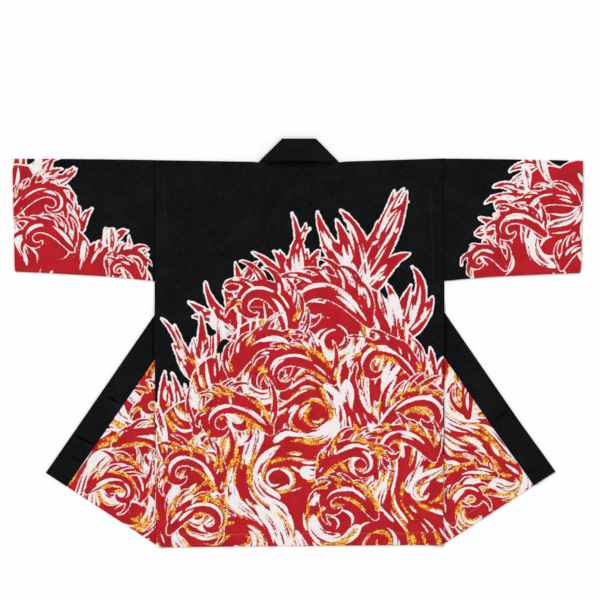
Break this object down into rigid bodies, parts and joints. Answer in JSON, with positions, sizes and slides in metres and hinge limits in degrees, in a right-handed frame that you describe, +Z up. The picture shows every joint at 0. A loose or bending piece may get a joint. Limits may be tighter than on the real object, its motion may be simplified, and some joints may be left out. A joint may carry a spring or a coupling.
{
  "type": "happi coat laid flat",
  "caption": "Short straight-cut festival coat of printed cotton, laid flat with its back up, sleeves spread and both fronts turned out to the sides.",
  "frame": {"origin": "on the surface the coat lies on, under the middle of its outline", "axes": "+Z up from the surface, +X along the sleeves to the wearer's right cuff, +Y from the hem to the collar"},
  "size_m": [1.26, 0.9008, 0.0072],
  "materials": {
    "printed_cotton": "plain cotton weave, dyed black with a red, white and gold print",
    "black_cotton": "plain cotton weave, black, folded double"
  },
  "bodies": {
    "root": {"back": "printed_cotton", "front_left": "printed_cotton", "front_right": "printed_cotton", "sleeve_left": "printed_cotton", "sleeve_right": "printed_cotton", "collar_neck": "black_cotton", "collar_left": "black_cotton", "collar_right": "black_cotton"}
  },
  "joints": []
}
